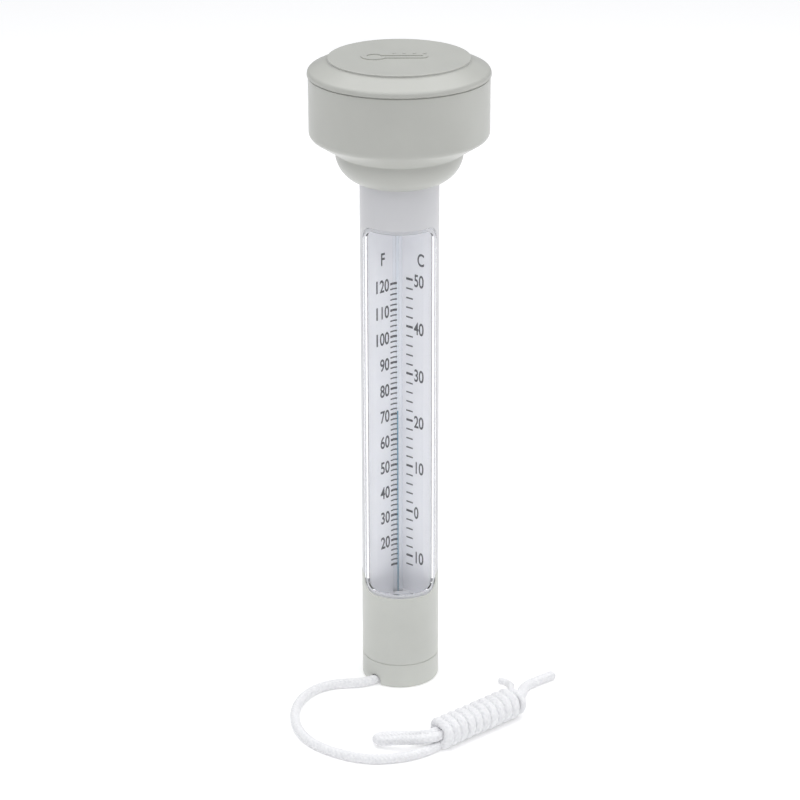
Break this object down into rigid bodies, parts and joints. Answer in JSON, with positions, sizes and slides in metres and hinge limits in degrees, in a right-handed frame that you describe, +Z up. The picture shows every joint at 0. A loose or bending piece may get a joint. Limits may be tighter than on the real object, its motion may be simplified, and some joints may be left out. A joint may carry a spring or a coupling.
{
  "type": "floating thermometer",
  "caption": "Upright floating thermometer for pools and spas: domed round float, slim tube with a clear window over a folded scale, glass capillary inside, and a braided cord at its foot.",
  "frame": {"origin": "centre of the end plug's flat base, which it stands on", "axes": "+Z up along the tube towards the float; -Y is the side of the scale; +X is to the right of a reader"},
  "size_m": [0.0845, 0.0888, 0.2033],
  "materials": {
    "float_plastic": "satin light grey",
    "cup_plastic": "satin light grey",
    "stem_plastic": "satin white",
    "plate_plastic": "smooth white",
    "clear_plastic": "clear, polished",
    "clear_glass": "clear glass",
    "dyed_spirit": "blue dyed liquid",
    "seal_rubber": "matte",
    "ballast_steel": "plain zinc plated",
    "cord_braid": "white braided polypropylene"
  },
  "bodies": {
    "body": {"float_cap": "float_plastic", "float_seal": "seal_rubber", "float_bowl": "float_plastic", "stem_bung": "stem_plastic", "stem_tube": "stem_plastic", "window_lens": "clear_plastic", "scale_plate": "plate_plastic", "capillary_glass": "clear_glass", "bulb_spirit": "dyed_spirit", "spirit_column": "dyed_spirit", "upper_holder": "stem_plastic", "glass_cushion": "seal_rubber", "lower_holder": "stem_plastic", "bulb_cushion": "seal_rubber", "ballast": "ballast_steel", "sealing_bung": "seal_rubber", "lower_cup": "cup_plastic", "plug_seal": "seal_rubber", "end_plug": "cup_plastic", "cord_knot": "cord_braid", "cord": "cord_braid", "cord_hank": "cord_braid", "cord_bight": "cord_braid", "cord_end": "cord_braid", "hank_tie": "cord_braid"},
    "spirit_tip": {"spirit_meniscus": "dyed_spirit"}
  },
  "joints": [
    {"name": "spirit_rise", "type": "slide", "parent": "body", "child": "spirit_tip", "axis": [0, 0, 1], "range_m": [-0.0525, 0.0433], "deforming": ["spirit_column"]}
  ]
}
